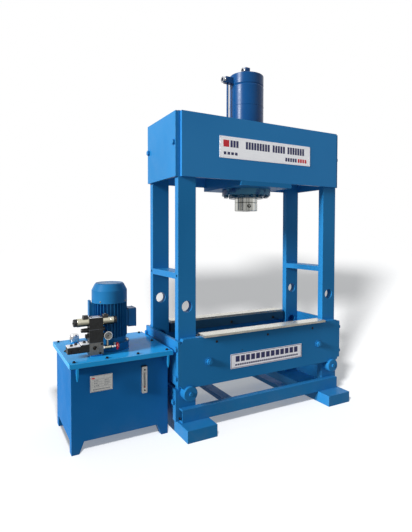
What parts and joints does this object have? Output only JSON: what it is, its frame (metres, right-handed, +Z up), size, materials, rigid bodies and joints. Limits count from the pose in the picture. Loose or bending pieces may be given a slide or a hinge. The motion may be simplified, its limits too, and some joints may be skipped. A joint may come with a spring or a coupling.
{
  "type": "hydraulic press",
  "caption": "Free-standing hydraulic press: welded gantry frame, height-adjustable table on support pins, overhead cylinder and a separate power unit beside it.",
  "frame": {"origin": "on the floor, midway between the four columns, under the ram's axis", "axes": "+X to the right along the front, +Y away from the front, +Z up"},
  "size_m": [1.979, 0.772, 2.425],
  "materials": {
    "blue_paint": "satin",
    "ground_steel": "ground",
    "hard_chrome": "polished",
    "bare_steel": "machined",
    "plated_steel": "plated",
    "dark_steel": "turned",
    "cast_iron": "cast",
    "black_steel": "satin",
    "black_paint": "matt",
    "black_plastic": "matt",
    "red_plastic": "gloss"
  },
  "bodies": {
    "frame": {"base_end_plate_left": "blue_paint", "base_end_plate_right": "blue_paint", "base_frame": "blue_paint", "cap_elbow": "blue_paint", "check_module": "black_steel", "column_front_left": "blue_paint", "column_front_right": "blue_paint", "column_rear_left": "blue_paint", "column_rear_right": "blue_paint", "crosshead_end_plate_left": "blue_paint", "crosshead_end_plate_right": "blue_paint", "crosshead_front_plate": "blue_paint", "crosshead_rear_plate": "blue_paint", "cylinder_barrel": "blue_paint", "cylinder_cap": "blue_paint", "cylinder_gland": "hard_chrome", "cylinder_mount_plate": "blue_paint", "end_plate_bolts": "blue_paint", "flange_bolts": "blue_paint", "foot_left": "blue_paint", "foot_right": "blue_paint", "gauge_body": "plated_steel", "level_gauge": "black_plastic", "manifold_block": "bare_steel", "motor_adapter": "blue_paint", "motor_cowl": "blue_paint", "motor_frame": "blue_paint", "motor_terminal_box": "blue_paint", "needle_valve_body": "plated_steel", "pump": "cast_iron", "relief_module": "black_steel", "side_brace_left": "blue_paint", "side_brace_right": "blue_paint", "side_pipe": "blue_paint", "side_port_block": "blue_paint", "solenoid_left": "plated_steel", "solenoid_right": "plated_steel", "tank_body": "blue_paint", "tank_lid": "blue_paint", "valve_body": "black_steel"},
    "ram": {"ram": "hard_chrome"},
    "table": {"table_front_plate": "blue_paint", "table_rear_plate": "blue_paint", "table_end_plate_left": "blue_paint", "table_end_plate_right": "blue_paint", "table_end_bolts": "blue_paint", "table_bar_front": "blue_paint", "table_bar_rear": "blue_paint", "table_rail_front": "ground_steel", "table_rail_rear": "ground_steel", "table_ties": "blue_paint"},
    "pin_left": {"support_pin_left": "blue_paint"},
    "pin_right": {"support_pin_right": "blue_paint"},
    "rotor": {"motor_rotor": "dark_steel"},
    "button_left": {"override_button_left": "black_plastic"},
    "button_right": {"override_button_right": "black_plastic"},
    "adjuster": {"relief_knob": "black_plastic"},
    "gauge_valve_knob": {"needle_valve_knob": "red_plastic"},
    "pointer": {"gauge_pointer": "black_paint"},
    "breather": {"breather_cap": "plated_steel"}
  },
  "joints": [
    {"name": "ram_stroke", "type": "slide", "parent": "frame", "child": "ram", "axis": [0, 0, -1], "range_m": [0, 0.5]},
    {"name": "table_height", "type": "slide", "parent": "frame", "child": "table", "axis": [0, 0, 1], "range_m": [0, 0.53]},
    {"name": "pin_left_pull", "type": "slide", "parent": "frame", "child": "pin_left", "axis": [0, -1, 0], "range_m": [0, 0.5]},
    {"name": "pin_right_pull", "type": "slide", "parent": "frame", "child": "pin_right", "axis": [0, -1, 0], "range_m": [0, 0.5]},
    {"name": "motor_shaft", "type": "hinge", "parent": "frame", "child": "rotor", "pos_m": [-1.008, 0.005, 0.7], "axis": [0, 0, 1], "continuous": true},
    {"name": "override_left", "type": "slide", "parent": "frame", "child": "button_left", "axis": [1, 0, 0], "range_m": [0, 0.004], "stiffness_N_per_m": 400},
    {"name": "override_right", "type": "slide", "parent": "frame", "child": "button_right", "axis": [-1, 0, 0], "range_m": [0, 0.004], "stiffness_N_per_m": 400},
    {"name": "relief_adjust", "type": "hinge", "parent": "frame", "child": "adjuster", "pos_m": [-1.2, -0.13, 0.675], "axis": [-1, 0, 0], "range_deg": [-180, 180]},
    {"name": "gauge_valve", "type": "hinge", "parent": "frame", "child": "gauge_valve_knob", "pos_m": [-1.003, -0.145, 0.567], "axis": [1, 0, 0], "range_deg": [0, 360]},
    {"name": "gauge_reading", "type": "hinge", "parent": "frame", "child": "pointer", "pos_m": [-1.0625, -0.161, 0.638], "axis": [0, 1, 0], "range_deg": [0, 270], "stiffness_Nm_per_rad": 0.0005},
    {"name": "breather_turn", "type": "hinge", "parent": "frame", "child": "breather", "pos_m": [-1.177, 0.228, 0.56], "axis": [0, 0, 1], "range_deg": [0, 60]}
  ]
}
